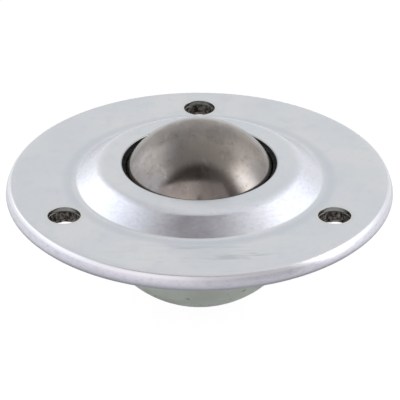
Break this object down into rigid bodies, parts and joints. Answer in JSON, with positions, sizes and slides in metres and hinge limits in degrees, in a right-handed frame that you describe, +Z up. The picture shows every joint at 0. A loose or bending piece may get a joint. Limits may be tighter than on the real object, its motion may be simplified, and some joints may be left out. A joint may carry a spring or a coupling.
{
  "type": "ball transfer unit",
  "caption": "Flange-fixing ball transfer unit: a steel load ball rolls in any direction on small support balls in a round zinc-plated steel housing with a rolled rim.",
  "frame": {"origin": "on the load ball's vertical axis, in the plane of the flange's underside, which seats on the table", "axes": "+Z up along the ball's axis towards the load, +Y from the axis towards one screw hole"},
  "size_m": [0.07, 0.07, 0.0346],
  "materials": {
    "bright_zinc": "bright zinc plate, silver with a faint blue tint",
    "zinc_shell": "zinc plate, drawn, satin",
    "hardened_steel": "hardened, dark, oiled",
    "load_ball_steel": "satin ground steel with fine scratches",
    "support_ball_steel": "polished",
    "wiper_seal": "black, matt",
    "retainer_polymer": "black, moulded"
  },
  "bodies": {
    "housing": {"top_cap": "bright_zinc", "seal_ring": "wiper_seal", "ball_retainer": "retainer_polymer", "bearing_cup": "hardened_steel", "body_shell": "zinc_shell"},
    "support_balls": {"support_ball_1": "support_ball_steel", "support_ball_2": "support_ball_steel", "support_ball_3": "support_ball_steel", "support_ball_4": "support_ball_steel", "support_ball_5": "support_ball_steel", "support_ball_6": "support_ball_steel", "support_ball_7": "support_ball_steel", "support_ball_8": "support_ball_steel", "support_ball_9": "support_ball_steel", "support_ball_10": "support_ball_steel", "support_ball_11": "support_ball_steel", "support_ball_12": "support_ball_steel", "support_ball_13": "support_ball_steel", "support_ball_14": "support_ball_steel", "support_ball_15": "support_ball_steel", "support_ball_16": "support_ball_steel", "support_ball_17": "support_ball_steel", "support_ball_18": "support_ball_steel", "support_ball_19": "support_ball_steel", "support_row_3": "support_ball_steel", "support_row_4": "support_ball_steel", "support_row_5": "support_ball_steel", "support_row_6": "support_ball_steel", "support_row_7": "support_ball_steel", "support_row_8": "support_ball_steel"},
    "load_ball": {"load_ball": "load_ball_steel"}
  },
  "joints": [
    {"name": "support_ball_circulation", "type": "hinge", "parent": "housing", "child": "support_balls", "pos_m": [0, 0, -0.00162], "axis": [0, 0, 1], "continuous": true},
    {"name": "load_ball_roll", "type": "hinge", "parent": "support_balls", "child": "load_ball", "pos_m": [0, 0, -0.00162], "axis": [1, 0, 0], "continuous": true}
  ]
}
